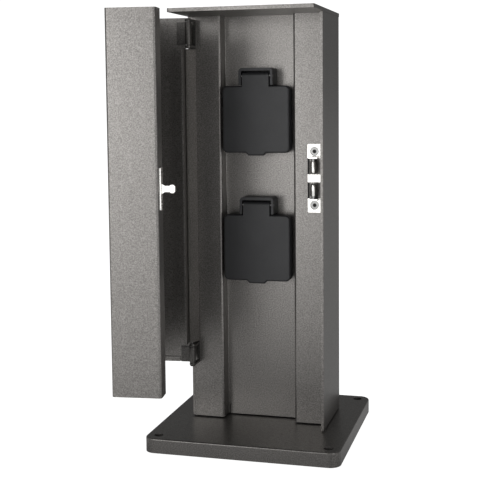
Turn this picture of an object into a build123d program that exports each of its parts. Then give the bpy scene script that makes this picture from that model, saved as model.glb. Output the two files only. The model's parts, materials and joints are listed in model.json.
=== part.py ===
from build123d import *
import os
from math import cos, radians, sin

os.makedirs("parts", exist_ok=True)

# A garden socket post, in millimetres. +Z is up, the open front looks along -Y and +X is on its right.
# The origin is the middle of the base plate's underside. It stands as photographed: door open, lids shut.

# Base plate
plate_side = 160.0
plate_thick = 12.0
plate_corner = 9.0
plate_edge = 1.2
hole_inset = 10.0
hole_dia = 7.5

# Column and front frame
body_width = 118.0
body_back = 41.0
wall_front = 32.0
wall_height = 340.0
sheet = 2.5
frame_sheet = 1.5
bend_inside = 0.6
jamb_front = 13.5
recess_depth = 12.5
foot_gap = 1.0
relief_width = 3.0
relief_height = 4.0

# Cap plate
cap_front = 66.0
cap_thick = 3.0
cap_corner = 1.0

# Door, given as it stands when shut
door_sheet = 1.5
door_open_angle = 83.2
door_right_play = 1.5
door_left_proud = 0.3
door_jamb_gap = 14.3
flange_axis_gap = 2.9
lip_width = 14.0
door_bottom_gap = 50.3
door_top_gap = 1.7
hem_height = 4.0
hem_thick = 1.0
hem_inset = 2.4

# Hinges
axis_inset = 4.7
axis_proud = 12.7
pin_dia = 3.0
bore_play = 0.05
knuckle_wall = 1.05
arm_thick = 1.8
arm_play = 0.4
bracket_foot = 2.4
bracket_wall_gap = 2.3
bracket_proud = 2.0
lower_hinge_height = 17.6
lower_hinge_drop = 2.3
upper_hinge_height = 23.0
upper_hinge_drop = 1.3
lip_hinge_play = 1.5
leaf_width = 10.0
leaf_thick = 1.5
leaf_rivet_dia = 2.6
leaf_rivet_setback = 3.6
rivet_head_share = 0.9
rivet_head_height = 0.8
pin_head_height = 0.8
pin_head_share = 0.8

# Stop strip between the hinges
strip_thick = 1.5
strip_root_gap = 5.5
strip_tip_gap = 1.0
strip_proud = 14.2
strip_foot = 4.6
strip_lower_play = 1.2
strip_upper_play = 1.2

# Catch on the right jamb
catch_wall_gap = 8.0
catch_above_middle = 12.0
catch_width = 11.5
catch_thick = 2.0
catch_corner = 1.0
catch_screw_end = 6.2
catch_screw_gap = 4.1
window_rim = 0.95
window_inner_play = 0.1
spring_gap = 2.1
lug_thick = 1.6
lug_side = 0.5
lug_over = 0.2
plunger_dia = 6.0
plunger_clearance = 0.6
plunger_length = 10.8
plunger_tip_length = 1.8
plunger_tip_share = 0.55
plunger_standoff = 0.4
plunger_wall = 0.9
plunger_nose = 3.6
spring_play = 0.15
spring_wall = 0.5
spring_seat_play = 0.05
guide_dia = 2.0
guide_bottom_play = 2.5

# Strike plate on the door
strike_width = 6.0
strike_length = 32.0
strike_thick = 1.2
strike_corner = 0.8
strike_rivet_end = 5.0
strike_rivet_dia = 2.0
tongue_tip_play = 0.9
tongue_thick = 3.0
tongue_neck = 4.6
tongue_root = 7.8
tongue_flare = 2.6
tongue_bulb = 6.2
tongue_bulb_length = 4.2
tongue_round = 1.2

# Sockets
socket_top_gap = 85.4
socket_pitch = 106.5
flange_margin = 2.0
flange_corner = 4.0
flange_thick = 3.0
gasket_thick = 1.0
ring_wall = 1.9
ring_proud = 13.5
well_dia = 39.0
well_depth = 17.5
insert_play = 0.1
insert_wall = 1.5
insert_floor = 8.0
insert_recess = 0.4
barrel_behind = 13.0
cutout_play = 0.3
contact_pitch = 19.0
contact_hole = 5.2
contact_sleeve_dia = 6.8
contact_sleeve_bore = 4.9
contact_sleeve_length = 14.0
contact_sleeve_cover = 2.2
clip_width = 5.0
clip_thick = 0.8
clip_play = 0.3
clip_reach = 9.0
rear_cover_depth = 14.0
rear_cover_wall = 1.6
rear_cable_dia = 8.0
socket_screw_inset = 4.5
socket_screw_dia = 3.0
socket_screw_head = 6.0
socket_screw_length = 11.0

# Socket lids and their hinges
lid_corner = 4.0
lid_side_play = 1.25
lid_end_play = 0.5
lid_back_play = 3.0
lid_recess_play = 2.35
lid_wall = 2.0
lid_edge = 1.4
tab_width = 17.5
tab_drop = 2.3
tab_thick = 3.5
tab_slope = 2.2
lid_top_setback = 2.2
lid_pin_rise = 8.2
lid_pin_dia = 2.0
lid_tongue_width = 22.4
lid_tongue_wall = 0.7
ear_thick = 2.1
ear_play = 1.1
ear_top_rise = 6.4
ear_corner = 3.0
ear_setback = 0.8
ear_leg_gap = 0.6
ear_back_thick = 2.0
ear_root = 3.5
bar_thick = 2.4
lid_spring_length = 7.0
lid_spring_bore_play = 0.2
lid_spring_wall = 0.6
lid_spring_play = 0.3
lid_seal_wall = 2.6
lid_seal_thick = 2.2
lid_seal_play = 0.3
lid_seal_inset = 0.4

# Screws and fixings inside
angle_leg = 16.0
angle_height = 18.0
angle_thick = 3.0
angle_length = 36.0
angle_back_gap = 6.0
angle_screw_pitch = 22.0
foot_screw_dia = 5.0
foot_screw_depth = 8.0
foot_screw_head_dia = 8.5
foot_screw_head = 3.2
foot_screw_key = 4.0
foot_screw_key_depth = 1.8
cap_screw_dia = 4.0
cap_screw_head_dia = 7.6
cap_screw_length = 9.0
catch_screw_dia = 3.4
catch_screw_head_dia = 7.2
catch_screw_length = 9.0
thread_play = 0.05
screw_slot_share = 0.22
screw_slot_depth_share = 0.35

# Cable entry
grommet_play = 3.0
grommet_wall = 5.0
grommet_lip = 2.0
grommet_lip_thick = 2.5
grommet_edge = 0.8

# Terminal block and earth stud
block_width = 40.0
block_deep = 14.0
block_tall = 20.0
block_edge = 1.0
pole_count = 4
block_end = 2.0
wire_hole = 4.0
terminal_screw_dia = 4.0
terminal_screw_length = 5.0
terminal_screw_sink = 0.5
stud_dia = 5.0
stud_length = 14.0
stud_height = 36.0
washer_dia = 10.0
washer_thick = 1.0
nut_across = 8.0
nut_thick = 4.0

# How far a cut runs past what it cuts
overrun = 1.0

# Heights and planes that several pieces share
half_width = body_width / 2
inner_half = half_width - sheet
ring_dia = well_dia + 2 * (insert_wall + insert_play + ring_wall)
flange_side = ring_dia + 2 * flange_margin
lid_width = flange_side + 2 * (lid_wall + lid_side_play)
lid_tall = flange_side + 2 * (lid_wall + lid_end_play)
recess_width = lid_width + 2 * lid_recess_play
recess_half = recess_width / 2
plate_top = plate_thick
cap_under = plate_top + wall_height
jamb_y = -jamb_front
panel_y = jamb_y + recess_depth
panel_back_y = panel_y + frame_sheet
back_inner_y = body_back - sheet
cable_y = (panel_back_y + back_inner_y) / 2
hole_pitch = plate_side - 2 * hole_inset
cable_hole_dia = back_inner_y - panel_back_y - 2 * (grommet_lip + grommet_play)
door_bottom = plate_top + door_bottom_gap
door_top = cap_under - door_top_gap
catch_right = inner_half - catch_wall_gap
catch_z = (door_bottom + door_top) / 2 + catch_above_middle
socket_z = {"upper": cap_under - socket_top_gap, "lower": cap_under - socket_top_gap - socket_pitch}
socket_screw_pitch = flange_side - 2 * socket_screw_inset
sides = {"right": 1, "left": -1}

# The shut door's sides and the hinge axis
door_right = inner_half - door_right_play
door_left = half_width + door_left_proud
axis_left = door_left - axis_inset
axis_front = jamb_front + axis_proud
knuckle_dia = pin_dia + 2 * (bore_play + knuckle_wall)

# The catch, from its plungers outwards
plunger_start = (tongue_bulb + plunger_clearance) / 2
plunger_end = plunger_start + plunger_length
window_inner = plunger_start - window_inner_play
window_outer = plunger_end + spring_gap
catch_screw_spacing = 2 * (window_outer + lug_thick + catch_screw_gap)
catch_length = catch_screw_spacing + 2 * catch_screw_end
strike_rivet_spacing = strike_length - 2 * strike_rivet_end

# The door's own plane turns about the hinge axis. In it, places are those of the shut door.
turn = radians(-door_open_angle)
door_plane = Plane(
    origin=(-axis_left, -axis_front, 0),
    x_dir=(cos(turn), sin(turn), 0),
    z_dir=(0, 0, 1),
)


def on_door(x, y):
    """A place on the shut door, measured from the hinge axis."""
    return (x + axis_left, y + axis_front)


def facing(y):
    """An upright plane at y that looks to the front, with Z up in its sketch."""
    return Plane.XZ.offset(-y)


def folded(points, thick, side, radii):
    """The section of a sheet folded along the points, with its bends rounded."""
    with BuildSketch() as section:
        with BuildLine():
            FilletPolyline(*points, radius=radii)
            offset(amount=thick, side=side)
        make_face()
    return section.sketch


def screw_section(length, dia, head_dia, head_tall):
    """Half the section of a countersunk screw whose head is flush with the sketch's origin."""
    with BuildSketch(Plane.XZ) as section:
        with BuildLine():
            Polyline(
                (0, 0),
                (head_dia / 2, 0),
                (dia / 2, -head_tall),
                (dia / 2, -length),
                (0, -length),
                close=True,
            )
        make_face()
    return section.sketch


def countersunk_screw(length, dia, head_dia):
    """A slotted countersunk screw along -Z, its head flush with Z = 0."""
    head_tall = (head_dia - dia) / 2
    with BuildPart() as screw:
        add(screw_section(length, dia, head_dia, head_tall))
        revolve(axis=Axis.Z)
        with BuildSketch(Plane.XY):
            Rectangle(head_dia * (1 - screw_slot_share), head_dia * screw_slot_share)
            Rectangle(head_dia * screw_slot_share, head_dia * (1 - screw_slot_share))
        extrude(amount=-head_tall * (1 - screw_slot_depth_share), mode=Mode.SUBTRACT)
    return screw.part


def save(part, name):
    """Label a finished piece and write it."""
    part.label = name
    export_step(part, f"parts/{name}.step")


# Angles inside the side walls: their screws stand in two rows
angle_y = back_inner_y - angle_back_gap - angle_length / 2
angle_screw_x = inner_half - angle_thick - (angle_leg - angle_thick) / 2
angle_screws = [
    (side * angle_screw_x, angle_y + step * angle_screw_pitch / 2)
    for side in sides.values()
    for step in (-1, 1)
]

# Base plate
with BuildPart() as base_plate:
    with BuildSketch():
        RectangleRounded(plate_side, plate_side, plate_corner)
    extrude(amount=plate_thick)
    fillet(base_plate.faces().sort_by(Axis.Z)[-1].edges(), plate_edge)
    with BuildSketch():
        with GridLocations(hole_pitch, hole_pitch, 2, 2):
            Circle(hole_dia / 2)
        with Locations((0, cable_y)):
            Circle(cable_hole_dia / 2)
    extrude(amount=plate_thick, mode=Mode.SUBTRACT)
    with BuildSketch(Plane.XY.offset(plate_top)):
        with Locations(*angle_screws):
            Circle(foot_screw_dia / 2 + thread_play)
    extrude(amount=-foot_screw_depth, mode=Mode.SUBTRACT)
save(base_plate.part, "base_plate")

# Column shell: right wall, back and left wall of one folded sheet
shell_path = [
    (half_width, -wall_front),
    (half_width, body_back),
    (-half_width, body_back),
    (-half_width, jamb_y),
]
with BuildPart() as column_shell:
    with BuildSketch(Plane.XY.offset(plate_top + foot_gap)):
        add(folded(shell_path, sheet, Side.LEFT, bend_inside + sheet))
    extrude(amount=wall_height - foot_gap)
save(column_shell.part, "column_shell")

# Front frame: both jambs, the recess and the socket panel of one folded sheet
outer_bend = bend_inside + frame_sheet
frame_path = [
    (-inner_half, jamb_y),
    (-recess_half, jamb_y),
    (-recess_half, panel_y),
    (recess_half, panel_y),
    (recess_half, jamb_y),
    (inner_half, jamb_y),
]
screw_places = [
    (x * socket_screw_pitch / 2, z + step * socket_screw_pitch / 2)
    for z in socket_z.values()
    for x in (-1, 1)
    for step in (-1, 1)
]
catch_screws_at = [(catch_right, catch_z + step * catch_screw_spacing / 2) for step in (-1, 1)]
with BuildPart() as front_frame:
    with BuildSketch(Plane.XY.offset(plate_top + foot_gap)):
        add(folded(frame_path, frame_sheet, Side.LEFT, [outer_bend, bend_inside, bend_inside, outer_bend]))
    extrude(amount=wall_height - foot_gap)
    with BuildSketch(facing(panel_y)):
        for z in socket_z.values():
            with Locations((0, z)):
                Circle(ring_dia / 2 + cutout_play)
        with Locations(*screw_places):
            Circle(socket_screw_dia / 2 + thread_play)
        with GridLocations(recess_width, 2 * (plate_top + foot_gap + relief_height), 2, 2):
            Rectangle(relief_width, 2 * relief_height)
    extrude(amount=-frame_sheet, mode=Mode.SUBTRACT)
    with BuildSketch(facing(jamb_y)):
        with Locations(*catch_screws_at):
            Circle(catch_screw_dia / 2 + thread_play)
    extrude(amount=-frame_sheet, mode=Mode.SUBTRACT)
save(front_frame.part, "front_frame")

# Cap plate
cap_depth = cap_front + body_back
with BuildPart() as cap_plate:
    with BuildSketch(Plane.XY.offset(cap_under)):
        with Locations((0, (body_back - cap_front) / 2)):
            RectangleRounded(body_width, cap_depth, cap_corner)
    extrude(amount=cap_thick)
    with Locations(Plane.XY.offset(cap_under + cap_thick)):
        with Locations(*angle_screws):
            CounterSinkHole(cap_screw_dia / 2 + thread_play, cap_screw_head_dia / 2 + thread_play, cap_thick)
save(cap_plate.part, "cap_plate")

# Angles: the lower pair holds the column on the plate, the upper pair holds the cap
for name, base, rise in (("foot_angles", plate_top, 1), ("top_angles", cap_under, -1)):
    with BuildPart() as angles:
        for side in sides.values():
            with BuildSketch(Plane.XY.offset(base)):
                with Locations((side * (inner_half - angle_leg / 2), angle_y)):
                    Rectangle(angle_leg, angle_length)
            extrude(amount=rise * angle_thick)
            with BuildSketch(Plane.XY.offset(base)):
                with Locations((side * (inner_half - angle_thick / 2), angle_y)):
                    Rectangle(angle_thick, angle_length)
            extrude(amount=rise * angle_height)
        with BuildSketch(Plane.XY.offset(base)):
            with Locations(*angle_screws):
                Circle((foot_screw_dia if rise > 0 else cap_screw_dia) / 2 + thread_play)
        extrude(amount=rise * angle_thick, mode=Mode.SUBTRACT)
    save(angles.part, name)

# Screws through the foot angles into the plate
with BuildPart() as foot_screws:
    with BuildSketch(Plane.XY.offset(plate_top + angle_thick)):
        with Locations(*angle_screws):
            Circle(foot_screw_dia / 2)
    extrude(amount=-(angle_thick + foot_screw_depth - overrun))
    with BuildSketch(Plane.XY.offset(plate_top + angle_thick)):
        with Locations(*angle_screws):
            Circle(foot_screw_head_dia / 2)
    extrude(amount=foot_screw_head)
    with BuildSketch(Plane.XY.offset(plate_top + angle_thick + foot_screw_head)):
        with Locations(*angle_screws):
            RegularPolygon(foot_screw_key / 2, 6)
    extrude(amount=-foot_screw_key_depth, mode=Mode.SUBTRACT)
save(foot_screws.part, "foot_screws")

# Screws through the cap into the top angles
cap_screw = countersunk_screw(cap_screw_length, cap_screw_dia, cap_screw_head_dia)
with BuildPart() as cap_screws:
    with Locations(*[(x, y, cap_under + cap_thick) for x, y in angle_screws]):
        add(cap_screw)
save(cap_screws.part, "cap_screws")

# Rubber grommet in the cable hole
grommet_r = cable_hole_dia / 2
grommet_bore_r = grommet_r - grommet_wall
with BuildPart() as cable_grommet:
    with BuildSketch(Plane.XZ) as grommet_section:
        with BuildLine():
            Polyline(
                (grommet_bore_r, grommet_edge),
                (grommet_r - grommet_edge, grommet_edge),
                (grommet_r, 2 * grommet_edge),
                (grommet_r, plate_top),
                (grommet_r + grommet_lip, plate_top),
                (grommet_r, plate_top + grommet_lip_thick),
                (grommet_bore_r, plate_top + grommet_lip_thick),
                close=True,
            )
        make_face()
    revolve(axis=Axis.Z)
with BuildPart() as grommet_placed:
    with Locations((0, cable_y, 0)):
        add(cable_grommet.part)
save(grommet_placed.part, "cable_grommet")

# Stop strip on the left jamb, between the hinges
lower_hinge_z = door_bottom - lower_hinge_drop
upper_hinge_z = door_top - upper_hinge_drop - upper_hinge_height
lip_bottom = lower_hinge_z + lower_hinge_height + lip_hinge_play
lip_top = upper_hinge_z - lip_hinge_play
strip_bottom = lower_hinge_z + lower_hinge_height + strip_lower_play
strip_top = upper_hinge_z - strip_upper_play
strip_root_x = strip_root_gap - inner_half
strip_path = [
    (strip_tip_gap - inner_half, jamb_y - strip_proud),
    (strip_root_x, jamb_y),
    (strip_root_x - strip_foot, jamb_y),
]
with BuildPart() as stop_strip:
    with BuildSketch(Plane.XY.offset(strip_bottom)):
        add(folded(strip_path, strip_thick, Side.LEFT, bend_inside + strip_thick))
    extrude(amount=strip_top - strip_bottom)
save(stop_strip.part, "door_stop_strip")

# Hinge brackets: a foot on the jamb and two arms that carry the pin
hinge_spans = {
    "lower": (lower_hinge_z, lower_hinge_height),
    "upper": (upper_hinge_z, upper_hinge_height),
}
foot_x = bracket_wall_gap - inner_half + bracket_foot / 2
foot_y = jamb_y - bracket_proud / 2
for level, (start, tall) in hinge_spans.items():
    with BuildPart() as bracket:
        with BuildSketch(Plane.XY.offset(start)):
            with Locations((foot_x, foot_y)):
                Rectangle(bracket_foot, bracket_proud)
        extrude(amount=tall)
        for base in (start, start + tall - arm_thick):
            with BuildSketch(Plane.XY.offset(base)):
                with Locations((foot_x, foot_y)):
                    Rectangle(bracket_foot, bracket_proud)
                with Locations((-axis_left, -axis_front)):
                    Circle(knuckle_dia / 2)
                make_hull()
            extrude(amount=arm_thick)
        with BuildSketch(Plane.XY.offset(start)):
            with Locations((-axis_left, -axis_front)):
                Circle(pin_dia / 2 + thread_play)
        extrude(amount=tall, mode=Mode.SUBTRACT)
    save(bracket.part, f"hinge_bracket_{level}")

# Hinge pins, with a head on the upper arm
with BuildPart() as hinge_pins:
    for start, tall in hinge_spans.values():
        with BuildSketch(Plane.XY.offset(start)):
            with Locations((-axis_left, -axis_front)):
                Circle(pin_dia / 2)
        extrude(amount=tall)
        for base, step in ((start, -1), (start + tall, 1)):
            with BuildSketch(Plane.XY.offset(base)):
                with Locations((-axis_left, -axis_front)):
                    Circle(knuckle_dia / 2 * pin_head_share)
            extrude(amount=step * pin_head_height)
save(hinge_pins.part, "hinge_pins")

# Door: a folded tray. The left lip stops short of both hinges.
front_y = -cap_front
right_rear_y = jamb_y - door_jamb_gap
left_rear_y = -axis_front - flange_axis_gap
door_outline = [
    on_door(door_right - lip_width, right_rear_y),
    on_door(door_right, right_rear_y),
    on_door(door_right, front_y),
    on_door(-door_left, front_y),
    on_door(-door_left, left_rear_y),
    on_door(-door_left + lip_width, left_rear_y),
]
flange_inner = -door_left + door_sheet
leaf_rivet_y = left_rear_y - leaf_rivet_setback
hem_front_y = front_y + hem_inset
hem_rear_y = -axis_front - leaf_width - hem_inset / 2
leaf_rivets_at = [
    start + tall / 2 + step * tall / 4 for start, tall in hinge_spans.values() for step in (-1, 1)
]
strike_rivets_at = [catch_z + step * strike_rivet_spacing / 2 for step in (-1, 1)]
door_bend = bend_inside + door_sheet
side_plane = Plane(
    origin=door_plane.from_local_coords((flange_inner + axis_left, 0, 0)),
    x_dir=door_plane.y_dir,
    z_dir=door_plane.x_dir,
)
lip_plane = Plane(
    origin=door_plane.from_local_coords((0, right_rear_y + axis_front, 0)),
    x_dir=door_plane.x_dir,
    z_dir=-door_plane.y_dir,
)
with BuildPart() as door_panel:
    for low, high, corners in (
        (door_bottom, lip_bottom, door_outline[:5]),
        (lip_bottom, lip_top, door_outline),
        (lip_top, door_top, door_outline[:5]),
    ):
        with BuildSketch(door_plane.offset(low)):
            add(folded(corners, door_sheet, Side.RIGHT, door_bend))
        extrude(amount=high - low)
    with BuildSketch(door_plane.offset(door_bottom)):
        with Locations(on_door(flange_inner + hem_thick / 2, (hem_front_y + hem_rear_y) / 2)):
            Rectangle(hem_thick, hem_rear_y - hem_front_y)
    extrude(amount=hem_height)
    with BuildSketch(side_plane):
        with Locations(*[(leaf_rivet_y + axis_front, z) for z in leaf_rivets_at]):
            Circle(leaf_rivet_dia / 2 + thread_play)
    extrude(amount=-door_sheet, mode=Mode.SUBTRACT)
    with BuildSketch(lip_plane):
        with Locations(*[(catch_right + axis_left, z) for z in strike_rivets_at]):
            Circle(strike_rivet_dia / 2 + thread_play)
    extrude(amount=door_sheet, mode=Mode.SUBTRACT)
save(door_panel.part, "door_panel")

# Hinge leaves: a flat on the door's flange and a knuckle about the pin
for level, (start, tall) in hinge_spans.items():
    leaf_start = max(start + arm_thick + arm_play, door_bottom)
    leaf_end = start + tall - arm_thick - arm_play
    with BuildPart() as leaf:
        with BuildSketch(door_plane.offset(leaf_start)):
            with Locations(on_door(flange_inner + leaf_thick / 2, -axis_front - leaf_width / 2)):
                Rectangle(leaf_thick, leaf_width)
            Circle(knuckle_dia / 2)
        extrude(amount=leaf_end - leaf_start)
        with BuildSketch(door_plane.offset(leaf_start)):
            Circle(pin_dia / 2 + bore_play)
        extrude(amount=leaf_end - leaf_start, mode=Mode.SUBTRACT)
        with BuildSketch(side_plane):
            with Locations(*[(leaf_rivet_y + axis_front, z) for z in leaf_rivets_at]):
                Circle(leaf_rivet_dia / 2 + thread_play)
        extrude(amount=leaf_thick, mode=Mode.SUBTRACT)
    save(leaf.part, f"hinge_leaf_{level}")

# Rivets through the leaves and the flange, headed outside and set flush inside
with BuildPart() as leaf_rivets:
    with BuildSketch(side_plane.offset(-door_sheet)):
        with Locations(*[(leaf_rivet_y + axis_front, z) for z in leaf_rivets_at]):
            Circle(leaf_rivet_dia * rivet_head_share)
    extrude(amount=-rivet_head_height)
    with BuildSketch(side_plane.offset(-door_sheet)):
        with Locations(*[(leaf_rivet_y + axis_front, z) for z in leaf_rivets_at]):
            Circle(leaf_rivet_dia / 2)
    extrude(amount=door_sheet + leaf_thick)
save(leaf_rivets.part, "leaf_rivets")

# Strike plate on the rear face of the door's right lip, with a tongue that enters the catch
catch_face_y = jamb_y - catch_thick
tongue_reach = catch_face_y - tongue_tip_play - right_rear_y
tongue_plane = Plane(
    origin=door_plane.from_local_coords((catch_right + axis_left, right_rear_y + axis_front, catch_z)),
    x_dir=door_plane.y_dir,
    z_dir=door_plane.x_dir,
)
neck_end = tongue_reach - tongue_bulb_length
with BuildPart() as strike_plate:
    with BuildSketch(lip_plane):
        with Locations((catch_right + axis_left, catch_z)):
            RectangleRounded(strike_width, strike_length, strike_corner)
    extrude(amount=-strike_thick)
    with BuildSketch(tongue_plane.offset(-tongue_thick / 2)):
        with BuildLine():
            Polyline(
                (0, -tongue_root / 2),
                (strike_thick, -tongue_root / 2),
                (strike_thick + tongue_flare, -tongue_neck / 2),
                (neck_end, -tongue_neck / 2),
                (neck_end + tongue_round, -tongue_bulb / 2),
                (tongue_reach - tongue_round, -tongue_bulb / 2),
                (tongue_reach, -tongue_bulb / 2 + tongue_round),
                (tongue_reach, tongue_bulb / 2 - tongue_round),
                (tongue_reach - tongue_round, tongue_bulb / 2),
                (neck_end + tongue_round, tongue_bulb / 2),
                (neck_end, tongue_neck / 2),
                (strike_thick + tongue_flare, tongue_neck / 2),
                (strike_thick, tongue_root / 2),
                (0, tongue_root / 2),
                close=True,
            )
        make_face()
    extrude(amount=tongue_thick)
    with BuildSketch(lip_plane):
        with Locations(*[(catch_right + axis_left, z) for z in strike_rivets_at]):
            Circle(strike_rivet_dia / 2 + thread_play)
    extrude(amount=-strike_thick, mode=Mode.SUBTRACT)
save(strike_plate.part, "strike_plate")

# Rivets that hold the strike plate
with BuildPart() as strike_rivets:
    with BuildSketch(lip_plane.offset(-strike_thick)):
        with Locations(*[(catch_right + axis_left, z) for z in strike_rivets_at]):
            Circle(strike_rivet_dia * rivet_head_share)
    extrude(amount=-rivet_head_height)
    with BuildSketch(lip_plane.offset(-strike_thick)):
        with Locations(*[(catch_right + axis_left, z) for z in strike_rivets_at]):
            Circle(strike_rivet_dia / 2)
    extrude(amount=door_sheet + strike_thick)
    with BuildSketch(lip_plane.offset(door_sheet)):
        with Locations(*[(catch_right + axis_left, z) for z in strike_rivets_at]):
            Circle(strike_rivet_dia * rivet_head_share)
    extrude(amount=rivet_head_height)
save(strike_rivets.part, "strike_rivets")

# Catch housing: a plate with two windows and two lugs that hold the guide pins
plunger_y = catch_face_y - plunger_standoff - plunger_dia / 2
window_tall = window_outer - window_inner
window_mid = (window_outer + window_inner) / 2
with BuildPart() as catch_housing:
    with BuildSketch(facing(jamb_y)):
        with Locations((catch_right, catch_z)):
            RectangleRounded(catch_width, catch_length, catch_corner)
        with Locations(*[(catch_right, catch_z + step * window_mid) for step in (-1, 1)]):
            Rectangle(catch_width - 2 * window_rim, window_tall, mode=Mode.SUBTRACT)
    extrude(amount=catch_thick)
    with BuildSketch(facing(jamb_y - catch_thick)):
        for step in (-1, 1):
            with Locations((catch_right, catch_z + step * (window_outer + lug_thick / 2))):
                Rectangle(plunger_dia + 2 * lug_side, lug_thick)
    extrude(amount=plunger_standoff + plunger_dia + lug_over)
    with BuildSketch(Plane.XY.offset(catch_z - window_outer - lug_thick)):
        with Locations((catch_right, plunger_y)):
            Circle(guide_dia / 2 + thread_play)
    extrude(amount=2 * (window_outer + lug_thick), mode=Mode.SUBTRACT)
    with Locations(facing(jamb_y - catch_thick)):
        with Locations(*catch_screws_at):
            CounterSinkHole(
                catch_screw_dia / 2 + thread_play, catch_screw_head_dia / 2 + thread_play, catch_thick
            )
save(catch_housing.part, "catch_housing")

# Catch screws
catch_screw = countersunk_screw(catch_screw_length, catch_screw_dia, catch_screw_head_dia)
with BuildPart() as catch_screws:
    with Locations(facing(jamb_y - catch_thick)):
        with Locations(*catch_screws_at):
            add(catch_screw)
save(catch_screws.part, "catch_screws")

# Plungers, their guide pins and springs, one set above and one below the tongue
bore_bottom = plunger_start + plunger_nose
plunger_bore_r = plunger_dia / 2 - plunger_wall
spring_r = plunger_bore_r - spring_play
for level, step in (("upper", 1), ("lower", -1)):
    spot = (catch_right, plunger_y)
    with BuildPart() as plunger:
        with BuildSketch(Plane.XY.offset(catch_z + step * plunger_start)):
            with Locations(spot):
                Circle(plunger_dia / 2 * plunger_tip_share)
        with BuildSketch(Plane.XY.offset(catch_z + step * (plunger_start + plunger_tip_length))):
            with Locations(spot):
                Circle(plunger_dia / 2)
        loft()
        with BuildSketch(Plane.XY.offset(catch_z + step * (plunger_start + plunger_tip_length))):
            with Locations(spot):
                Circle(plunger_dia / 2)
        extrude(amount=step * (plunger_length - plunger_tip_length))
        with BuildSketch(Plane.XY.offset(catch_z + step * plunger_end)):
            with Locations(spot):
                Circle(plunger_bore_r)
        extrude(amount=-step * (plunger_length - plunger_nose), mode=Mode.SUBTRACT)
    save(plunger.part, f"catch_plunger_{level}")
    with BuildPart() as guide:
        with BuildSketch(Plane.XY.offset(catch_z + step * (bore_bottom + guide_bottom_play))):
            with Locations(spot):
                Circle(guide_dia / 2)
        extrude(amount=step * (window_outer + lug_thick - bore_bottom - guide_bottom_play))
    save(guide.part, f"catch_guide_{level}")
    with BuildPart() as spring:
        with BuildSketch(Plane.XY.offset(catch_z + step * (bore_bottom + spring_seat_play))):
            with Locations(spot):
                Circle(spring_r)
                Circle(spring_r - spring_wall, mode=Mode.SUBTRACT)
        extrude(amount=step * (window_outer - bore_bottom - spring_seat_play))
    save(spring.part, f"catch_spring_{level}")

# Sockets: every piece of each, from the panel outwards
flange_back_y = panel_y - gasket_thick
flange_face_y = flange_back_y - flange_thick
ring_front_y = panel_y - ring_proud
housing_bore_r = ring_dia / 2 - ring_wall
insert_r = housing_bore_r - insert_play
well_floor_y = ring_front_y + well_depth
insert_back_y = well_floor_y + insert_floor
barrel_back_y = panel_y + barrel_behind
lid_face_y = ring_front_y - lid_seal_play - lid_seal_thick - lid_wall
lid_back_y = flange_face_y - lid_back_play
lid_deep = lid_back_y - lid_face_y
lid_spring_r = lid_pin_dia / 2 + lid_spring_bore_play + lid_spring_wall
pocket_r = lid_spring_r + lid_spring_play
tongue_r = pocket_r + lid_tongue_wall
pin_y = lid_face_y + tongue_r
slot_half = lid_tongue_width / 2 + ear_play
slot_back_y = flange_back_y - ear_back_thick
ear_outer = slot_half + ear_thick
ear_front_y = lid_face_y + ear_setback
clip_z = well_dia / 2 - clip_play - clip_thick
clip_bridge_y = insert_back_y + clip_play + clip_thick
sleeve_start_y = well_floor_y + contact_sleeve_cover
lid_spring_half = lid_spring_length / 2
seal_outer_r = ring_dia / 2 - lid_seal_inset
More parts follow.
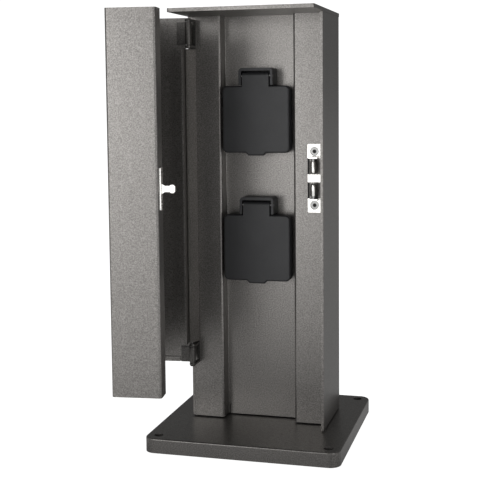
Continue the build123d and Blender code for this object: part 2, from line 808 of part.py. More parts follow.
for level, mid in socket_z.items():
    lid_top = mid + lid_tall / 2
    flange_top = mid + flange_side / 2
    pin_z = lid_top + lid_pin_rise
    ear_top = pin_z + ear_top_rise
    bar_bottom = ear_top - bar_thick
    corners = [
        (x * socket_screw_pitch / 2, mid + step * socket_screw_pitch / 2) for x in (-1, 1) for step in (-1, 1)
    ]
    contacts = [(x * contact_pitch / 2, mid) for x in (-1, 1)]

    with BuildPart() as gasket:
        with BuildSketch(facing(panel_y)):
            with Locations((0, mid)):
                RectangleRounded(flange_side, flange_side, flange_corner)
                Circle(ring_dia / 2 + cutout_play, mode=Mode.SUBTRACT)
            with Locations(*corners):
                Circle(socket_screw_dia / 2 + cutout_play, mode=Mode.SUBTRACT)
        extrude(amount=gasket_thick)
    save(gasket.part, f"socket_gasket_{level}")

    with BuildPart() as housing:
        with BuildSketch(facing(flange_back_y)):
            with Locations((0, mid)):
                RectangleRounded(flange_side, flange_side, flange_corner)
        extrude(amount=flange_thick)
        with BuildSketch(facing(barrel_back_y)):
            with Locations((0, mid)):
                Circle(ring_dia / 2)
        extrude(amount=barrel_back_y - ring_front_y)
        for start_y, end_y, foot_z in (
            (flange_back_y, flange_face_y, flange_top - ear_root),
            (flange_face_y, ear_front_y, lid_top + ear_leg_gap),
        ):
            with BuildSketch(facing(start_y)) as ear_face:
                with Locations((0, (foot_z + ear_top) / 2)):
                    Rectangle(2 * ear_outer, ear_top - foot_z)
                fillet(ear_face.vertices().group_by(Axis.Y)[-1], ear_corner)
            extrude(amount=start_y - end_y)
        with BuildSketch(facing(slot_back_y)):
            with Locations((0, (lid_top + bar_bottom) / 2)):
                Rectangle(2 * slot_half, bar_bottom - lid_top)
        extrude(amount=slot_back_y - ear_front_y, mode=Mode.SUBTRACT)
        with BuildSketch(facing(barrel_back_y)):
            with Locations((0, mid)):
                Circle(housing_bore_r)
        extrude(amount=barrel_back_y - ring_front_y, mode=Mode.SUBTRACT)
        with BuildSketch(Plane.YZ.offset(-ear_outer)):
            with Locations((pin_y, pin_z)):
                Circle(lid_pin_dia / 2 + thread_play)
        extrude(amount=2 * ear_outer, mode=Mode.SUBTRACT)
        with Locations(facing(flange_face_y)):
            with Locations(*corners):
                CounterSinkHole(
                    socket_screw_dia / 2 + thread_play, socket_screw_head / 2 + thread_play, flange_thick
                )
    save(housing.part, f"socket_housing_{level}")

    socket_screw = countersunk_screw(socket_screw_length, socket_screw_dia, socket_screw_head)
    with BuildPart() as screws:
        with Locations(facing(flange_face_y)):
            with Locations(*corners):
                add(socket_screw)
    save(screws.part, f"socket_screws_{level}")

    with BuildPart() as insert:
        with BuildSketch(facing(insert_back_y)):
            with Locations((0, mid)):
                Circle(insert_r)
        extrude(amount=insert_back_y - ring_front_y - insert_recess)
        with BuildSketch(facing(well_floor_y)):
            with Locations((0, mid)):
                Circle(well_dia / 2)
        extrude(amount=well_depth, mode=Mode.SUBTRACT)
        with BuildSketch(facing(well_floor_y)):
            with Locations(*contacts):
                Circle(contact_hole / 2)
            for step in (-1, 1):
                with Locations((0, mid + step * (clip_z + clip_thick / 2))):
                    Rectangle(clip_width + 2 * clip_play, clip_thick + 2 * clip_play)
        extrude(amount=-insert_floor, mode=Mode.SUBTRACT)
        with BuildSketch(facing(sleeve_start_y)):
            with Locations(*contacts):
                Circle(contact_sleeve_dia / 2 + thread_play)
        extrude(amount=-insert_floor, mode=Mode.SUBTRACT)
    save(insert.part, f"socket_insert_{level}")

    with BuildPart() as contact_sleeves:
        with BuildSketch(facing(sleeve_start_y)):
            with Locations(*contacts):
                Circle(contact_sleeve_dia / 2)
                Circle(contact_sleeve_bore / 2, mode=Mode.SUBTRACT)
        extrude(amount=-contact_sleeve_length)
    save(contact_sleeves.part, f"contact_sleeves_{level}")

    clip_path = [
        (clip_bridge_y - clip_reach - insert_floor, mid - clip_z - clip_thick),
        (clip_bridge_y, mid - clip_z - clip_thick),
        (clip_bridge_y, mid + clip_z + clip_thick),
        (clip_bridge_y - clip_reach - insert_floor, mid + clip_z + clip_thick),
    ]
    with BuildPart() as earth_clip:
        with BuildSketch(Plane.YZ.offset(-clip_width / 2)):
            add(folded(clip_path, clip_thick, Side.LEFT, bend_inside + clip_thick))
        extrude(amount=clip_width)
    save(earth_clip.part, f"earth_clip_{level}")

    with BuildPart() as rear_cover:
        with BuildSketch(facing(barrel_back_y)):
            with Locations((0, mid)):
                Circle(ring_dia / 2)
        extrude(amount=-rear_cover_depth)
        with BuildSketch(facing(barrel_back_y)):
            with Locations((0, mid)):
                Circle(ring_dia / 2 - rear_cover_wall)
        extrude(amount=-(rear_cover_depth - rear_cover_wall), mode=Mode.SUBTRACT)
        with BuildSketch(Plane.XY.offset(mid)):
            with Locations((0, barrel_back_y + rear_cover_depth / 2)):
                Circle(rear_cable_dia / 2)
        extrude(amount=-ring_dia / 2 - overrun, mode=Mode.SUBTRACT)
    save(rear_cover.part, f"socket_rear_cover_{level}")

    with BuildPart() as lid_pin:
        with BuildSketch(Plane.YZ.offset(-ear_outer)):
            with Locations((pin_y, pin_z)):
                Circle(lid_pin_dia / 2)
        extrude(amount=2 * ear_outer)
    save(lid_pin.part, f"lid_pin_{level}")

    with BuildPart() as lid_spring:
        with BuildSketch(Plane.YZ.offset(-lid_spring_half)):
            with Locations((pin_y, pin_z)):
                Circle(lid_spring_r)
                Circle(lid_spring_r - lid_spring_wall, mode=Mode.SUBTRACT)
        extrude(amount=lid_spring_length)
    save(lid_spring.part, f"lid_spring_{level}")

    pocket_half = lid_spring_half + lid_spring_play
    with BuildPart() as lid:
        with BuildSketch(facing(lid_back_y)):
            with Locations((0, mid)):
                RectangleRounded(lid_width, lid_tall, lid_corner)
        extrude(amount=lid_deep)
        with BuildSketch(facing(lid_face_y + tab_thick)):
            with BuildLine():
                Polyline(
                    (-tab_width / 2, mid - lid_tall / 2 + lid_edge),
                    (-tab_width / 2, mid - lid_tall / 2),
                    (-tab_width / 2 + tab_slope, mid - lid_tall / 2 - tab_drop),
                    (tab_width / 2 - tab_slope, mid - lid_tall / 2 - tab_drop),
                    (tab_width / 2, mid - lid_tall / 2),
                    (tab_width / 2, mid - lid_tall / 2 + lid_edge),
                    close=True,
                )
            make_face()
        extrude(amount=tab_thick)
        fillet(lid.faces().sort_by(Axis.Y)[0].edges(), lid_edge)
        with BuildSketch(facing(lid_back_y)):
            with Locations((0, mid)):
                RectangleRounded(
                    lid_width - 2 * lid_wall, lid_tall - 2 * lid_wall, lid_corner - lid_wall
                )
        extrude(amount=lid_deep - lid_wall, mode=Mode.SUBTRACT)
        with BuildSketch(facing(lid_back_y)):
            with Locations((0, lid_top - lid_corner / 2)):
                Rectangle(lid_width, lid_corner)
        extrude(amount=lid_top_setback, mode=Mode.SUBTRACT)
        lid_tongue_root = lid_top - lid_wall
        with BuildSketch(Plane.YZ.offset(-lid_tongue_width / 2)):
            with Locations((pin_y, pin_z)):
                Circle(tongue_r)
            with Locations((pin_y, (lid_tongue_root + pin_z) / 2)):
                Rectangle(2 * tongue_r, pin_z - lid_tongue_root)
        extrude(amount=lid_tongue_width)
        with BuildSketch(Plane.YZ.offset(-lid_tongue_width / 2)):
            with Locations((pin_y, pin_z)):
                Circle(lid_pin_dia / 2 + bore_play)
        extrude(amount=lid_tongue_width, mode=Mode.SUBTRACT)
        with BuildSketch(Plane.YZ.offset(-pocket_half)):
            with Locations((pin_y, pin_z)):
                Circle(pocket_r)
            with Locations((pin_y + tongue_r / 2, pin_z)):
                Rectangle(tongue_r, 2 * pocket_r)
        extrude(amount=2 * pocket_half, mode=Mode.SUBTRACT)
    save(lid.part, f"lid_{level}")

    with BuildPart() as lid_seal:
        with BuildSketch(facing(ring_front_y - lid_seal_play)):
            with Locations((0, mid)):
                Circle(seal_outer_r)
                Circle(seal_outer_r - lid_seal_wall, mode=Mode.SUBTRACT)
        extrude(amount=lid_seal_thick)
    save(lid_seal.part, f"lid_seal_{level}")

# Terminal block on the back wall, midway between the sockets
block_z = (socket_z["upper"] + socket_z["lower"]) / 2
block_front_y = back_inner_y - block_deep
pole_pitch = (block_width - 2 * block_end) / pole_count
poles = [(i - (pole_count - 1) / 2) * pole_pitch for i in range(pole_count)]
with BuildPart() as terminal_block:
    with BuildSketch(facing(back_inner_y)):
        with Locations((0, block_z)):
            Rectangle(block_width, block_tall)
    extrude(amount=block_deep)
    chamfer(terminal_block.faces().sort_by(Axis.Y)[0].edges(), block_edge)
    with BuildSketch(Plane.XY.offset(block_z - block_tall / 2)):
        with Locations(*[(x, back_inner_y - block_deep / 2) for x in poles]):
            Circle(wire_hole / 2)
    extrude(amount=block_tall, mode=Mode.SUBTRACT)
    with BuildSketch(facing(block_front_y)):
        with Locations(*[(x, block_z) for x in poles]):
            Circle(terminal_screw_dia / 2 + thread_play)
    extrude(amount=-(terminal_screw_length + terminal_screw_sink), mode=Mode.SUBTRACT)
save(terminal_block.part, "terminal_block")

with BuildPart() as terminal_screws:
    with BuildSketch(facing(block_front_y + terminal_screw_sink)):
        with Locations(*[(x, block_z) for x in poles]):
            Circle(terminal_screw_dia / 2)
    extrude(amount=-terminal_screw_length)
    with BuildSketch(facing(block_front_y + terminal_screw_sink)):
        with Locations(*[(x, block_z) for x in poles]):
            Rectangle(terminal_screw_dia + overrun, terminal_screw_dia * screw_slot_share)
    extrude(amount=-terminal_screw_dia * screw_slot_share, mode=Mode.SUBTRACT)
save(terminal_screws.part, "terminal_screws")

# Earth stud low on the back wall, with its washer and nut
stud_z = plate_top + stud_height
with BuildPart() as earth_stud:
    with BuildSketch(facing(back_inner_y)):
        with Locations((0, stud_z)):
            Circle(stud_dia / 2)
    extrude(amount=stud_length)
save(earth_stud.part, "earth_stud")

with BuildPart() as earth_washer:
    with BuildSketch(facing(back_inner_y)):
        with Locations((0, stud_z)):
            Circle(washer_dia / 2)
            Circle(stud_dia / 2 + thread_play, mode=Mode.SUBTRACT)
    extrude(amount=washer_thick)
save(earth_washer.part, "earth_washer")

with BuildPart() as earth_nut:
    with BuildSketch(facing(back_inner_y - washer_thick)):
        with Locations((0, stud_z)):
            RegularPolygon(nut_across / 2, 6, major_radius=False)
            Circle(stud_dia / 2 + thread_play, mode=Mode.SUBTRACT)
    extrude(amount=nut_thick)
save(earth_nut.part, "earth_nut")
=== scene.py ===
import json
import math

import bpy
from mathutils import Matrix, Vector


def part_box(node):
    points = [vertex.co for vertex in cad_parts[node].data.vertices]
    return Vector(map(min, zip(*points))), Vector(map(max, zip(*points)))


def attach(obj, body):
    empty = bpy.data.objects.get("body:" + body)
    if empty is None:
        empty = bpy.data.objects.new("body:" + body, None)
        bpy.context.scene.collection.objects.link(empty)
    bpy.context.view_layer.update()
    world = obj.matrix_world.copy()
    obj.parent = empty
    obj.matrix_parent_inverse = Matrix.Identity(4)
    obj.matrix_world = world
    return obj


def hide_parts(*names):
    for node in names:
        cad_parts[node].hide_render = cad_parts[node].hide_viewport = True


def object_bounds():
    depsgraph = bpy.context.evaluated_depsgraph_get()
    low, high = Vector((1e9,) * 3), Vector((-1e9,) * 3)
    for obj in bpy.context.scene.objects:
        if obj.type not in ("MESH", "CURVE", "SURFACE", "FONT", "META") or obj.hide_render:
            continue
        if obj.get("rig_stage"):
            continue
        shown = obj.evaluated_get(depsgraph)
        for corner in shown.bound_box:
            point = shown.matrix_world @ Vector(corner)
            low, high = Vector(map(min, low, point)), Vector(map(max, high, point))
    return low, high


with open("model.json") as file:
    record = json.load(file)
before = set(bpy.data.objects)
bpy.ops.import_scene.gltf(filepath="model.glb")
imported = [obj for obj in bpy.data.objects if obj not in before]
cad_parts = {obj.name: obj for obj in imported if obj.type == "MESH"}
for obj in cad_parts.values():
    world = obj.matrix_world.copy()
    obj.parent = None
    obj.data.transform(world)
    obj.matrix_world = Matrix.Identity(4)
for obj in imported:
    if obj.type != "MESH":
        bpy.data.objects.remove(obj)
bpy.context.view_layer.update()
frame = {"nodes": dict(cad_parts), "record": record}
nodes = frame["nodes"]
MM = 0.001
Y, Z = 1, 2


# Hand tools: selecting, placing, finishing a piece

def clear_selection():
    if bpy.context.object and bpy.context.object.mode != "OBJECT":
        bpy.ops.object.mode_set(mode="OBJECT")
    bpy.ops.object.select_all(action="DESELECT")


def take(piece):
    clear_selection()
    piece.select_set(True)
    bpy.context.view_layer.objects.active = piece


def bake_place(piece):
    take(piece)
    bpy.ops.object.transform_apply(location=True, rotation=True, scale=True)


def apply_modifier(piece, kind, name, **values):
    take(piece)
    made = piece.modifiers.new(name, kind)
    for key, value in values.items():
        setattr(made, key, value)
    bpy.ops.object.modifier_apply(modifier=made.name)


def smooth(piece, degrees):
    take(piece)
    bpy.ops.object.shade_smooth_by_angle(angle=math.radians(degrees))


def ease_edges(piece, width):
    """Rounds the sharp edges of a formed piece, as a coat or a mould leaves them."""
    apply_modifier(
        piece, "BEVEL", "eased edges", width=width, segments=2, limit_method="ANGLE",
        angle_limit=math.radians(38), profile=0.5,
    )
    smooth(piece, degrees=35)
    apply_modifier(piece, "WEIGHTED_NORMAL", "flats kept flat", weight=80, keep_sharp=True)


def blank_from(node, name, score_heights):
    """A blank with the shape of a CAD node: its triangles joined, its flats made whole, then scored."""
    blank = nodes[node].copy()
    blank.data = nodes[node].data.copy()
    blank.parent = None
    blank.name = name
    for key in list(blank.keys()):
        if key.startswith("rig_"):
            del blank[key]
    blank.data.materials.clear()
    bpy.context.scene.collection.objects.link(blank)
    take(blank)
    bpy.ops.object.mode_set(mode="EDIT")
    bpy.ops.mesh.select_all(action="SELECT")
    bpy.ops.mesh.remove_doubles(threshold=0.004 * MM)
    bpy.ops.mesh.customdata_custom_splitnormals_clear()
    bpy.ops.mesh.dissolve_limited(angle_limit=math.radians(0.6))
    for height in score_heights:
        bpy.ops.mesh.select_all(action="SELECT")
        bpy.ops.mesh.bisect(plane_co=(0, 0, height), plane_no=(0, 0, 1))
    bpy.ops.object.mode_set(mode="OBJECT")
    return blank


def pick_end(piece, axis, side):
    """Leaves the piece in edit mode with only the end face on that side of the axis selected."""
    end_on = 0.9
    take(piece)
    bpy.ops.object.mode_set(mode="EDIT")
    bpy.ops.mesh.select_mode(type="FACE")
    bpy.ops.mesh.select_all(action="DESELECT")
    bpy.ops.object.mode_set(mode="OBJECT")
    for face in piece.data.polygons:
        face.select = face.normal[axis] * side > end_on
    bpy.ops.object.mode_set(mode="EDIT")


def draw_out(axis, steps, middle, start):
    """Extrudes the selected end: each step is a rise in mm and the share of the width that is kept."""
    at = start
    for rise, share in steps:
        move = [0.0, 0.0, 0.0]
        move[axis] = rise * MM
        at += rise * MM
        centre = list(middle)
        centre[axis] = at
        size = [share, share, share]
        size[axis] = 1
        bpy.ops.mesh.extrude_region_move(TRANSFORM_OT_translate={"value": tuple(move)})
        bpy.ops.transform.resize(value=tuple(size), center_override=tuple(centre))


def box_of(node):
    """The low corner, the high corner and the middle of a CAD node."""
    low, high = (Vector(corner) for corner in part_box(node))
    return low, high, (low + high) / 2


def fit(piece, body, finish, node):
    """Gives a formed piece its finish, hangs it on its named body and hides the CAD node it stands for.
    """
    piece.data.materials.clear()
    piece.data.materials.append(finish)
    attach(piece, body)
    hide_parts(node)
    return piece


def paint_shade_black(piece, wanted):
    """Paints shade on the wanted faces of a fitted piece: they take the black finish that stands for
    shade.
    """
    piece.data.materials.append(shade_black)
    for face in piece.data.polygons:
        if wanted(face):
            face.material_index = 1


# Tools for the finishes

def group(name, inputs):
    """A shared effect that gives a colour, a roughness and a height."""
    made = bpy.data.node_groups.new(name, "ShaderNodeTree")
    for label, kind, value in inputs:
        made.interface.new_socket(name=label, in_out="INPUT", socket_type=kind).default_value = value
    for label, kind in (
        ("Color", "NodeSocketColor"), ("Roughness", "NodeSocketFloat"), ("Height", "NodeSocketFloat"),
    ):
        made.interface.new_socket(name=label, in_out="OUTPUT", socket_type=kind)
    return made, made.nodes.new("NodeGroupInput").outputs, made.nodes.new("NodeGroupOutput").inputs


def noise(tree, vector, scale, detail, rough):
    made = tree.nodes.new("ShaderNodeTexNoise")
    made.inputs["Scale"].default_value = scale
    made.inputs["Detail"].default_value = detail
    made.inputs["Roughness"].default_value = rough
    tree.links.new(vector, made.inputs["Vector"])
    return made.outputs["Fac"]


def spread(tree, value, given, wanted):
    """Carries a value from the given range over to the wanted one, and holds it there."""
    made = tree.nodes.new("ShaderNodeMapRange")
    labels = ("From Min", "From Max", "To Min", "To Max")
    for label, limit in zip(labels, given + wanted):
        made.inputs[label].default_value = limit
    tree.links.new(value, made.inputs["Value"])
    return made.outputs["Result"]


def calculate(tree, kind, first, second):
    made = tree.nodes.new("ShaderNodeMath")
    made.operation = kind
    for socket, value in zip(made.inputs, (first, second)):
        if isinstance(value, (int, float)):
            socket.default_value = value
        else:
            tree.links.new(value, socket)
    return made.outputs[0]


def blended(tree, factor, first, second):
    made = tree.nodes.new("ShaderNodeMix")
    made.data_type = "RGBA"
    tree.links.new(factor, made.inputs["Factor"])
    for socket, value in ((made.inputs[6], first), (made.inputs[7], second)):
        if isinstance(value, tuple):
            socket.default_value = value
        else:
            tree.links.new(value, socket)
    return made.outputs[2]


def vector_step(tree, kind, place, other=(0, 0, 0)):
    made = tree.nodes.new("ShaderNodeVectorMath")
    made.operation = kind
    tree.links.new(place, made.inputs[0])
    made.inputs[1].default_value = other
    return made.outputs


def parts_of(tree, place):
    made = tree.nodes.new("ShaderNodeSeparateXYZ")
    tree.links.new(place, made.inputs["Vector"])
    return made.outputs


# Shared effects. A noise scale is in grains to the metre, so 1000 is about one grain to the millimetre

def build_powder_coat():
    """Fine sandy texture, metallic flake and handling marks of a powder coat."""
    made, given, result = group("powder coat", [
        ("Base", "NodeSocketColor", (0.1, 0.1, 0.1, 1)),
        ("Flake", "NodeSocketColor", (0.3, 0.3, 0.3, 1)),
        ("Dust", "NodeSocketFloat", 0.1),
    ])
    grain_share = 0.05
    flake_height = 0.3
    place = made.nodes.new("ShaderNodeTexCoord").outputs["Object"]
    speckle = spread(made, noise(made, place, scale=1050, detail=2, rough=0.7), (0.34, 0.7), (0, 1))
    grain = spread(made, noise(made, place, scale=700, detail=2, rough=0.6), (0.3, 0.7), (-0.5, 0.5))
    drift = spread(made, noise(made, place, scale=9, detail=3, rough=0.55), (0.3, 0.7), (0, 1))
    peel = noise(made, place, scale=420, detail=2, rough=0.5)
    flaked = blended(made, speckle, given["Base"], given["Flake"])
    dust = calculate(made, "MULTIPLY", drift, given["Dust"])
    made.links.new(blended(made, dust, flaked, given["Flake"]), result["Color"])
    sheen = spread(made, drift, (0, 1), (0.32, 0.37))
    rough = calculate(made, "ADD", sheen, calculate(made, "MULTIPLY", grain, grain_share))
    made.links.new(rough, result["Roughness"])
    raised = calculate(made, "MULTIPLY", speckle, flake_height)
    made.links.new(calculate(made, "ADD", raised, peel), result["Height"])
    return made


def build_moulding():
    """Satin moulded plastic: a fine spark-eroded grain and faint flow clouds."""
    made, given, result = group("moulded skin", [
        ("Base", "NodeSocketColor", (0.02, 0.02, 0.02, 1)),
        ("Scuff", "NodeSocketColor", (0.1, 0.1, 0.1, 1)),
    ])
    place = made.nodes.new("ShaderNodeTexCoord").outputs["Object"]
    grain = noise(made, place, scale=1300, detail=2, rough=0.6)
    cloud = spread(made, noise(made, place, scale=38, detail=3, rough=0.5), (0.35, 0.7), (0, 0.35))
    made.links.new(blended(made, cloud, given["Base"], given["Scuff"]), result["Color"])
    made.links.new(spread(made, grain, (0.3, 0.7), (0.4, 0.52)), result["Roughness"])
    made.links.new(grain, result["Height"])
    return made


def build_plating():
    """Plated metal: faint tooling streaks and a slow change of sheen."""
    made, given, result = group("plated metal", [
        ("Base", "NodeSocketColor", (0.7, 0.7, 0.7, 1)),
        ("Tarnish", "NodeSocketColor", (0.4, 0.4, 0.4, 1)),
        ("Low", "NodeSocketFloat", 0.12),
        ("High", "NodeSocketFloat", 0.3),
    ])
    streak_squeeze = (60, 60, 900)
    place = made.nodes.new("ShaderNodeTexCoord").outputs["Object"]
    turned = made.nodes.new("ShaderNodeMapping")
    turned.inputs["Scale"].default_value = streak_squeeze
    made.links.new(place, turned.inputs["Vector"])
    streak = noise(made, turned.outputs["Vector"], scale=2, detail=2, rough=0.6)
    cloud = spread(made, noise(made, place, scale=120, detail=3, rough=0.55), (0.4, 0.75), (0, 0.6))
    made.links.new(blended(made, cloud, given["Base"], given["Tarnish"]), result["Color"])
    span = calculate(made, "SUBTRACT", given["High"], given["Low"])
    rough = calculate(made, "ADD", given["Low"], calculate(made, "MULTIPLY", streak, span))
    made.links.new(rough, result["Roughness"])
    made.links.new(streak, result["Height"])
    return made


powder_coat = build_powder_coat()
moulding = build_moulding()
plating = build_plating()


def finish_of(name, effect, bump, depth, metallic, **values):
    """A material that takes its colour, roughness and relief from a shared effect."""
    made = bpy.data.materials.new(name)
    made.use_nodes = True
    tree = made.node_tree
    surface = tree.nodes["Principled BSDF"]
    used = tree.nodes.new("ShaderNodeGroup")
    used.node_tree = effect
    for label, value in values.items():
        used.inputs[label].default_value = value
    surface.inputs["Metallic"].default_value = metallic
    tree.links.new(used.outputs["Color"], surface.inputs["Base Color"])
    tree.links.new(used.outputs["Roughness"], surface.inputs["Roughness"])
    relief = tree.nodes.new("ShaderNodeBump")
    relief.inputs["Strength"].default_value = bump
    relief.inputs["Distance"].default_value = depth
    tree.links.new(used.outputs["Height"], relief.inputs["Height"])
    tree.links.new(relief.outputs["Normal"], surface.inputs["Normal"])
    return made


# Finishes, one for each slot of the record, and two more: a darker copy of the coat for the hinges, as
# painted shade, and a black finish that paints shade in recesses and beside the catch windows

# Darker copy of the anthracite coat: painted shade for the hinge pieces
hinges_in_painted_shade = finish_of(
    "hinge coat with painted shade", powder_coat, bump=0.27, depth=0.2 * MM, metallic=0.8,
    Base=(0.07, 0.067, 0.063, 1), Flake=(0.15, 0.144, 0.138, 1), Dust=0.03,
)
# Black finish that paints shade where it falls: in the screw recesses and on the bars beside the catch
# windows
shade_black = finish_of(
    "black painted shade", plating, bump=0.05, depth=0.05 * MM, metallic=0.6,
    Base=(0.012, 0.012, 0.012, 1), Tarnish=(0.03, 0.03, 0.03, 1), Low=0.35, High=0.5,
)
finishes = {
    "coat": finish_of(
        "anthracite coat", powder_coat, bump=0.27, depth=0.2 * MM, metallic=0.8,
        Base=(0.15, 0.142, 0.135, 1), Flake=(0.32, 0.308, 0.294, 1), Dust=0.06,
    ),
    "lid_plastic": finish_of(
        "satin black plastic", moulding, bump=0.12, depth=0.1 * MM, metallic=0,
        Base=(0.018, 0.0185, 0.02, 1), Scuff=(0.04, 0.04, 0.044, 1),
    ),
    "insert_plastic": finish_of(
        "smooth black plastic", moulding, bump=0.05, depth=0.1 * MM, metallic=0,
        Base=(0.014, 0.014, 0.015, 1), Scuff=(0.02, 0.02, 0.021, 1),
    ),
    "rubber": finish_of(
        "matt rubber", moulding, bump=0.3, depth=0.1 * MM, metallic=0,
        Base=(0.012, 0.012, 0.012, 1), Scuff=(0.05, 0.05, 0.05, 1),
    ),
    "terminal_plastic": finish_of(
        "light grey plastic", moulding, bump=0.15, depth=0.1 * MM, metallic=0,
        Base=(0.5, 0.5, 0.48, 1), Scuff=(0.4, 0.4, 0.39, 1),
    ),
    "nickel": finish_of(
        "bright nickel", plating, bump=0.03, depth=0.05 * MM, metallic=1,
        Base=(0.86, 0.85, 0.82, 1), Tarnish=(0.8, 0.79, 0.76, 1), Low=0.14, High=0.26,
    ),
    "steel": finish_of(
        "zinc-plated steel", plating, bump=0.05, depth=0.05 * MM, metallic=1,
        Base=(0.34, 0.34, 0.335, 1), Tarnish=(0.25, 0.25, 0.24, 1), Low=0.24, High=0.4,
    ),
    "brass": finish_of(
        "drawn brass", plating, bump=0.05, depth=0.05 * MM, metallic=1,
        Base=(0.72, 0.52, 0.22, 1), Tarnish=(0.5, 0.33, 0.14, 1), Low=0.18, High=0.34,
    ),
}
slot_of = {entry["node"]: entry["material_slot"] for entry in frame["record"]["subparts"]}
body_of = {
    node: body for body, members in frame["record"]["behaviour"]["bodies"].items() for node in members
}
finish_at = {name: finishes[slot] for name, slot in slot_of.items()}
# The hinge pieces take the darker copy of the coat: painted shade for the shade they stand in beside the
# open door
for name in (
    "hinge_bracket_upper", "hinge_bracket_lower", "hinge_leaf_upper", "hinge_leaf_lower",
    "hinge_pins", "leaf_rivets",
):
    finish_at[name] = hinges_in_painted_shade
for name, node in nodes.items():
    node.data.materials.clear()
    node.data.materials.append(finish_at[name])


# Formed and moulded pieces: the CAD shape with its edges eased, by so many mm, as a coat or mould leaves
# them. The catch plate is scored where its windows end, so that the bars beside them can take painted
# shade

eased_widths = {
    "column_shell": 0.35, "front_frame": 0.3, "cap_plate": 0.4, "door_panel": 0.35, "base_plate": 0.3,
    "door_stop_strip": 0.25, "hinge_bracket_upper": 0.3, "hinge_bracket_lower": 0.3,
    "hinge_leaf_upper": 0.25, "hinge_leaf_lower": 0.25, "catch_housing": 0.2, "strike_plate": 0.15,
    "lid_upper": 0.45, "lid_lower": 0.45, "socket_housing_upper": 0.4, "socket_housing_lower": 0.4,
    "foot_angles": 0.25, "top_angles": 0.25,
}
window_near = 3.3
window_far = 16.3
catch_middle = box_of("catch_housing")[2]
scores = {
    "catch_housing": [
        catch_middle.z + step * reach * MM for step in (-1, 1) for reach in (window_near, window_far)
    ],
}
eased = {}
for name, width in eased_widths.items():
    formed = blank_from(name, f"{name}_eased", scores.get(name, ()))
    ease_edges(formed, width * MM)
    eased[name] = fit(formed, body_of[name], finish_at[name], name)


# Catch plungers: a rod with its end drawn down, ring by ring, to a bullet nose, and bored from behind

round_sides = 48
nose_rings = (
    (0.9, 0.985), (0.8, 0.955), (0.6, 0.92), (0.45, 0.86), (0.3, 0.8), (0.2, 0.68), (0.1, 0.5),
)
nose_length = sum(rise for rise, share in nose_rings)
bore_wall = 0.9
bore_depth = 7.2
turned_edge = 0.18
for level, ahead in (("upper", -1), ("lower", 1)):
    low, high, middle = box_of(f"catch_plunger_{level}")
    rod_length = high.z - low.z - nose_length * MM
    rod_z = middle.z - ahead * nose_length * MM / 2
    clear_selection()
    bpy.ops.mesh.primitive_cylinder_add(
        vertices=round_sides, radius=(high.x - low.x) / 2, depth=rod_length,
        location=(middle.x, middle.y, rod_z),
    )
    plunger = bpy.context.object
    plunger.name = f"plunger_{level}_rod"
    bake_place(plunger)
    pick_end(plunger, Z, ahead)
    nose_steps = [(ahead * rise, share) for rise, share in nose_rings]
    draw_out(Z, nose_steps, middle, rod_z + ahead * rod_length / 2)
    pick_end(plunger, Z, -ahead)
    bpy.ops.mesh.inset(thickness=bore_wall * MM)
    draw_out(Z, [(ahead * bore_depth, 1)], middle, rod_z - ahead * rod_length / 2)
    apply_modifier(
        plunger, "BEVEL", "turned edge", width=turned_edge * MM, segments=2, limit_method="ANGLE",
        angle_limit=math.radians(50),
    )
    smooth(plunger, degrees=40)
    fit(plunger, f"plunger_{level}", finishes["nickel"], f"catch_plunger_{level}")


# Catch screws: turned heads with a ring step and a deep drive recess

head_rim = 0.4
shank_steps = ((1.5, 0.47), (6.2, 1.0), (0.9, 0.4))
face_rim = 0.45
face_rise = 0.18
ring_width = 1.5
recess_steps = ((0.25, 0.86), (1.2, 0.9))
recess_from_edge = 1.9
recess_depth = 1.7
low, high, middle = box_of("catch_screws")
head_r = (high.x - low.x) / 2
screw_heights = (high.z - head_r, low.z + head_r)
turned_screws = []
for screw_z in screw_heights:
    clear_selection()
    bpy.ops.mesh.primitive_cylinder_add(
        vertices=round_sides, radius=head_r, depth=head_rim * MM,
        location=(middle.x, low.y + head_rim * MM / 2, screw_z), rotation=(math.radians(90), 0, 0),
    )
    screw = bpy.context.object
    screw.name = "catch_screws_turned"
    bake_place(screw)
    centre = (middle.x, low.y, screw_z)
    pick_end(screw, Y, 1)
    draw_out(Y, shank_steps, centre, low.y + head_rim * MM)
    pick_end(screw, Y, -1)
    bpy.ops.mesh.inset(thickness=face_rim * MM)
    draw_out(Y, [(face_rise, 0.98)], centre, low.y)
    bpy.ops.mesh.inset(thickness=ring_width * MM)
    draw_out(Y, recess_steps, centre, low.y + face_rise * MM)
    smooth(screw, degrees=30)
    turned_screws.append(screw)
take(turned_screws[0])
turned_screws[1].select_set(True)
bpy.ops.object.join()
screws = bpy.context.object
fit(screws, "post", finishes["steel"], "catch_screws")


# The drive recesses are painted black: painted shade in the recess
def in_shaded_recess(face):
    off_z = min(abs(face.center.z - screw_z) for screw_z in screw_heights)
    off_centre = math.hypot(face.center.x - middle.x, off_z)
    return off_centre < head_r - recess_from_edge * MM and face.center.y < low.y + recess_depth * MM


paint_shade_black(screws, in_shaded_recess)


# Catch plate: the narrow bars beside the windows are painted black as painted shade, the three broad
# fields stay bright

bar_from_middle = 4.6
score_play = 0.2


def in_shaded_bar(face):
    beside = abs(face.center.x - catch_middle.x) > bar_from_middle * MM
    along = abs(face.center.z - catch_middle.z)
    return beside and (window_near - score_play) * MM < along < (window_far + score_play) * MM


paint_shade_black(eased["catch_housing"], in_shaded_bar)


# Camera at the photograph's place

photo_side = 480
focal_pixels = 1052.5
sensor = 36.0
lens_shift = -0.1
camera_place = (0.2191, -0.8560, 0.2844)
camera_yaw = math.radians(15.543)
camera_down = math.radians(5.118)
camera_roll = math.radians(-0.57)


def look_matrix(yaw, down, roll):
    ahead = Vector((-math.sin(yaw) * math.cos(down), math.cos(yaw) * math.cos(down), -math.sin(down)))
    right = Vector((math.cos(yaw), math.sin(yaw), 0))
    above = right.cross(ahead)
    turned_right = right * math.cos(roll) + above * math.sin(roll)
    turned_above = above * math.cos(roll) - right * math.sin(roll)
    return Matrix((turned_right, turned_above, -ahead)).transposed().to_4x4()


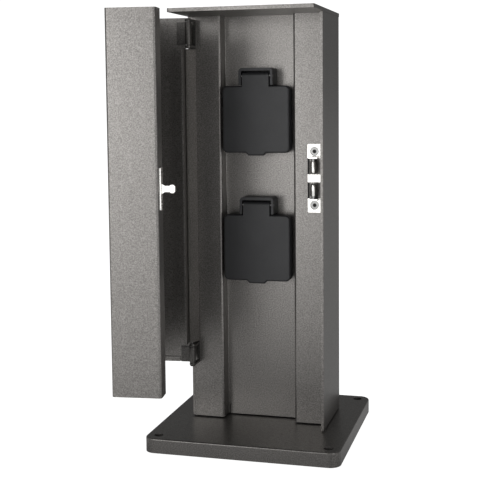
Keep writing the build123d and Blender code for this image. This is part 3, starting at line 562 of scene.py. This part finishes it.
lens_data = bpy.data.cameras.new("camera")
lens_data.sensor_width = sensor
lens_data.lens = focal_pixels / photo_side * sensor
lens_data.shift_y = lens_shift
camera = bpy.data.objects.new("camera", lens_data)
bpy.context.scene.collection.objects.link(camera)
camera_turn = look_matrix(camera_yaw, camera_down, camera_roll)
camera.matrix_world = Matrix.Translation(camera_place) @ camera_turn
bpy.context.scene.camera = camera


# Floor: white paper to the camera. Off camera it glows less, less still behind the post and least close
# before the plate, where a painted shadow of the post darkens the paper and its glow. Under the plate
# the paper is painted dark, as painted shade

floor_side = 40
white_paper = (0.92, 0.92, 0.92, 1)
painted_shade_paper = (0.02, 0.02, 0.02, 1)
plate_cover = 74 * MM
shade_middle = (0, -0.15, 0)
shade_reach = (0.1, 0.24)
shade_light = (0.25, 1.0)
glow_change = (-0.1, 0.1)
glow_light = (0.6, 0.15)

clear_selection()
bpy.ops.mesh.primitive_plane_add(size=floor_side, location=(0, 0, 0))
floor = bpy.context.object
floor.name = "floor"
pale = bpy.data.materials.new("pale floor")
pale.use_nodes = True
pale_tree = pale.node_tree
paper = pale_tree.nodes["Principled BSDF"]
paper.inputs["Roughness"].default_value = 0.8
paper.inputs["Emission Color"].default_value = (1, 1, 1, 1)
seen = pale_tree.nodes.new("ShaderNodeLightPath").outputs["Is Camera Ray"]
spot = pale_tree.nodes.new("ShaderNodeTexCoord").outputs["Object"]
off_axis = parts_of(pale_tree, vector_step(pale_tree, "ABSOLUTE", spot)["Vector"])
from_middle = calculate(pale_tree, "MAXIMUM", off_axis["X"], off_axis["Y"])
# Within the plate's footprint the paper is painted dark and does not glow: painted shade under the plate
outside_plate_shade = calculate(pale_tree, "GREATER_THAN", from_middle, plate_cover)
from_shade = vector_step(pale_tree, "DISTANCE", spot, shade_middle)["Value"]
# A painted shadow of the post: the paper gets darker and glows less towards shade_middle
open_share = spread(pale_tree, from_shade, shade_reach, shade_light)
lit_paper = blended(pale_tree, open_share, painted_shade_paper, white_paper)
pale_tree.links.new(blended(pale_tree, outside_plate_shade, painted_shade_paper, lit_paper), paper.inputs["Base Color"])
studio_glow = spread(pale_tree, parts_of(pale_tree, spot)["Y"], glow_change, glow_light)
glow = calculate(pale_tree, "MAXIMUM", calculate(pale_tree, "MULTIPLY", studio_glow, open_share), seen)
pale_tree.links.new(calculate(pale_tree, "MULTIPLY", outside_plate_shade, glow), paper.inputs["Emission Strength"])
floor.data.materials.append(pale)
floor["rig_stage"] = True


# Studio: plain white air, brighter to the camera, and three soft boxes

air_light = (0.14, 1.1)
sky = bpy.data.worlds.new("studio")
bpy.context.scene.world = sky
sky.use_nodes = True
sky_tree = sky.node_tree
air = sky_tree.nodes["Background"]
air.inputs["Color"].default_value = (1, 1, 1, 1)
sky_seen = sky_tree.nodes.new("ShaderNodeLightPath").outputs["Is Camera Ray"]
sky_tree.links.new(spread(sky_tree, sky_seen, (0, 1), air_light), air.inputs["Strength"])


def soft_box(name, place, aim, size, power):
    data = bpy.data.lights.new(name, "AREA")
    data.shape = "RECTANGLE"
    data.size, data.size_y = size
    data.energy = power
    lamp = bpy.data.objects.new(name, data)
    bpy.context.scene.collection.objects.link(lamp)
    lamp.location = place
    lamp.rotation_euler = (Vector(aim) - Vector(place)).to_track_quat("-Z", "Y").to_euler()


soft_box("wide box", place=(-0.3, -1.3, 0.36), aim=(0, 0, 0.3), size=(1.4, 0.68), power=2.5)
soft_box("key box", place=(-0.42, -1.15, 0.3), aim=(0.03, 0, 0.22), size=(0.3, 0.46), power=1.7)
soft_box("right strip", place=(1.1, -0.95, 0.4), aim=(-0.03, 0, 0.2), size=(0.12, 0.9), power=2.5)

# Plain tones, so that the white paper stays pure white

bpy.context.scene.view_settings.view_transform = "Standard"

low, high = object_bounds()
